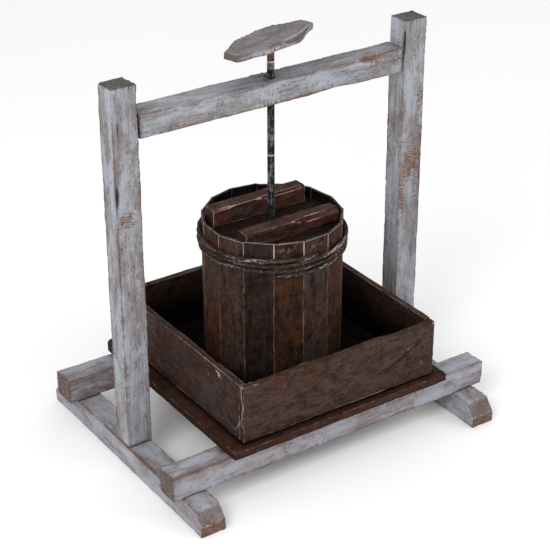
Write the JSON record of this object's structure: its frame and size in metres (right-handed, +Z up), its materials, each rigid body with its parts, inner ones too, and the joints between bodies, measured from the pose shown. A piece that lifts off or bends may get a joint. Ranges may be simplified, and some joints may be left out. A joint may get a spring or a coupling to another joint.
{
  "type": "apple press",
  "caption": "Table-top apple press: whitewashed timber frame, board tray, roped stave barrel, and a press plate driven down by a hand-turned screw.",
  "frame": {"origin": "on the floor, under the screw's axis, at the centre of the base", "axes": "+Z up along the screw, +X along the crossbar and the two floor beams, -Y the front"},
  "size_m": [0.516, 0.402, 0.563],
  "materials": {
    "frame_whitewash": "rough-sawn softwood, thin grey-lavender whitewash worn through to brown on the edges",
    "handle_paint": "split wood, grey-mauve wash with raw brown chipped edges",
    "tray_stain": "dark brown stained boards, satin, mottled, edges rubbed lighter",
    "stave_stain": "dark brown stained staves, satin, edges rubbed lighter",
    "press_stain": "dark brown stained wood, satin, edges rubbed lighter",
    "rope": "stiff tarred cord, brown-black with grey worn strands",
    "rod_steel": "dark oxidised steel with dull silver patches",
    "fastener_steel": "plain steel, dull"
  },
  "bodies": {
    "stand": {"left_foot": "frame_whitewash", "right_foot": "frame_whitewash", "front_beam": "frame_whitewash", "rear_beam": "frame_whitewash", "left_post": "frame_whitewash", "right_post": "frame_whitewash", "top_crossbar": "frame_whitewash", "beam_screw_front_left": "fastener_steel", "beam_screw_front_right": "fastener_steel", "beam_screw_rear_left": "fastener_steel", "beam_screw_rear_right": "fastener_steel", "screw_nut": "fastener_steel", "nut_screw_left": "fastener_steel", "nut_screw_right": "fastener_steel", "tray_bottom_board": "tray_stain", "tray_front_wall": "tray_stain", "tray_rear_wall": "tray_stain", "tray_left_wall": "tray_stain", "tray_right_wall": "tray_stain", "tray_nail_front_left": "fastener_steel", "tray_nail_front_right": "fastener_steel", "tray_nail_rear_left": "fastener_steel", "tray_nail_rear_right": "fastener_steel", "wall_nail_front_1": "fastener_steel", "wall_nail_front_2": "fastener_steel", "wall_nail_rear_1": "fastener_steel", "wall_nail_rear_2": "fastener_steel", "wall_nail_left_1": "fastener_steel", "wall_nail_right_1": "fastener_steel", "barrel_base": "stave_stain", "stave_01": "stave_stain", "stave_02": "stave_stain", "stave_03": "stave_stain", "stave_04": "stave_stain", "stave_05": "stave_stain", "stave_06": "stave_stain", "stave_07": "stave_stain", "stave_08": "stave_stain", "stave_09": "stave_stain", "stave_10": "stave_stain", "stave_11": "stave_stain", "stave_12": "stave_stain", "stave_13": "stave_stain", "stave_14": "stave_stain", "stave_15": "stave_stain", "rope_hoop": "rope"},
    "press_head": {"press_plate": "press_stain", "press_bar_front": "press_stain", "press_bar_rear": "press_stain", "bar_nail_front_left": "fastener_steel", "bar_nail_front_right": "fastener_steel", "bar_nail_rear_left": "fastener_steel", "bar_nail_rear_right": "fastener_steel", "thrust_washer": "fastener_steel"},
    "screw": {"screw_rod": "rod_steel", "handle": "handle_paint", "handle_pin": "fastener_steel", "lower_washer": "fastener_steel", "lock_nut": "fastener_steel"}
  },
  "joints": [
    {"name": "press_travel", "type": "slide", "parent": "stand", "child": "press_head", "axis": [0, 0, 1], "range_m": [-0.0394, 0.1459]},
    {"name": "screw_turn", "type": "hinge", "parent": "press_head", "child": "screw", "pos_m": [0, 0, 0.553], "axis": [0, 0, 1], "range_deg": [-9450, 35010]}
  ],
  "couplings": [
    {"joint": "press_travel", "follows": "screw_turn", "m_per_rad": 0.00023873}
  ]
}
